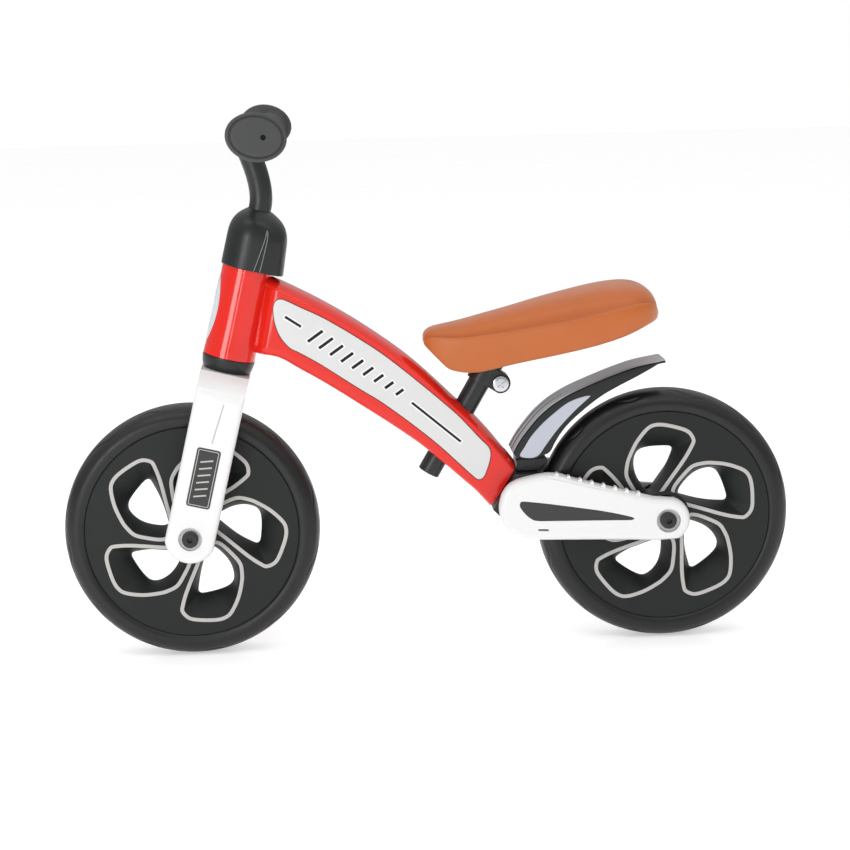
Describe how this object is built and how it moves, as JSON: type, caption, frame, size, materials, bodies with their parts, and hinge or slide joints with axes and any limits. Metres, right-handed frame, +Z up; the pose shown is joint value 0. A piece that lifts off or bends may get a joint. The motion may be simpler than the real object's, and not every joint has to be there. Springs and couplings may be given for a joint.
{
  "type": "balance bike",
  "caption": "Child's balance bike: beam frame, sprungless fork, foam-tyred wheels with petal openings, sliding handlebar and sliding padded saddle, rear fender and foot rests.",
  "frame": {"origin": "on the ground, midway between the two wheels, in the bike's middle plane", "axes": "+X towards the rear wheel, +Y towards the rider's right, +Z up"},
  "size_m": [0.727, 0.3754, 0.541],
  "materials": {
    "red_paint": "gloss",
    "white_plastic": "gloss",
    "black_plastic": "satin",
    "dark_inlay": "satin",
    "silver_plastic": "metallic satin",
    "foam_tyre": "matte",
    "wheel_plastic": "satin",
    "grip_rubber": "matte",
    "black_steel": "satin",
    "bright_steel": "polished",
    "tan_leather": "satin"
  },
  "bodies": {
    "chassis": {"frame": "red_paint", "head_badge": "silver_plastic", "upper_headset_bush": "black_plastic", "lower_headset_bush": "black_plastic", "seat_post_bush": "black_plastic", "seat_lock_screw": "black_steel", "rear_yoke": "black_steel", "yoke_screw": "black_steel", "stay_cover_left": "white_plastic", "stay_cover_right": "white_plastic", "stay_inlay_left": "dark_inlay", "stay_inlay_right": "dark_inlay", "fender": "black_plastic", "fender_crown": "silver_plastic", "fender_panel_left": "silver_plastic", "fender_panel_right": "silver_plastic", "fender_bracket": "black_plastic", "fender_screw_left": "black_steel", "fender_screw_right": "black_steel", "rear_axle_bolt": "black_steel", "rear_axle_nut": "black_steel", "rear_spacer_left": "bright_steel", "rear_spacer_right": "bright_steel"},
    "steering": {"fork": "white_plastic", "steerer_tube": "black_steel", "crown_ring": "black_plastic", "headset_lock_nut": "black_steel", "bar_clamp": "black_steel", "bar_clamp_bolt": "bright_steel", "bar_clamp_nut": "bright_steel", "stem_cover": "black_plastic", "front_axle_bolt": "black_steel", "front_axle_nut": "black_steel", "front_spacer_left": "bright_steel", "front_spacer_right": "bright_steel"},
    "handlebar_unit": {"handlebar": "black_steel", "grip_left": "grip_rubber", "grip_right": "grip_rubber"},
    "front_wheel": {"front_tyre": "foam_tyre", "front_wheel_disc": "wheel_plastic", "front_hub_sleeve": "bright_steel", "front_bearing_left": "bright_steel", "front_bearing_right": "bright_steel"},
    "rear_wheel": {"rear_tyre": "foam_tyre", "rear_wheel_disc": "wheel_plastic", "rear_hub_sleeve": "bright_steel", "rear_bearing_left": "bright_steel", "rear_bearing_right": "bright_steel"},
    "saddle": {"seat_post": "black_steel", "seat_clamp": "black_steel", "seat_clamp_bolt": "bright_steel", "seat_clamp_nut": "bright_steel", "saddle_base": "black_plastic", "saddle_pad": "tan_leather", "saddle_screw_left": "black_steel", "saddle_screw_right": "black_steel"}
  },
  "joints": [
    {"name": "steering_turn", "type": "hinge", "parent": "chassis", "child": "steering", "pos_m": [-0.2365, 0, 0.127], "axis": [0.2419, 0, 0.9703], "range_deg": [-45, 45]},
    {"name": "front_wheel_spin", "type": "hinge", "parent": "steering", "child": "front_wheel", "pos_m": [-0.2365, 0, 0.127], "axis": [0, 1, 0], "continuous": true},
    {"name": "rear_wheel_spin", "type": "hinge", "parent": "chassis", "child": "rear_wheel", "pos_m": [0.2365, 0, 0.127], "axis": [0, 1, 0], "continuous": true},
    {"name": "handlebar_height", "type": "slide", "parent": "steering", "child": "handlebar_unit", "axis": [0.2419, 0, 0.9703], "range_m": [0, 0.04]},
    {"name": "saddle_height", "type": "slide", "parent": "chassis", "child": "saddle", "axis": [0.506, 0, 0.8625], "range_m": [-0.012, 0.04]}
  ]
}
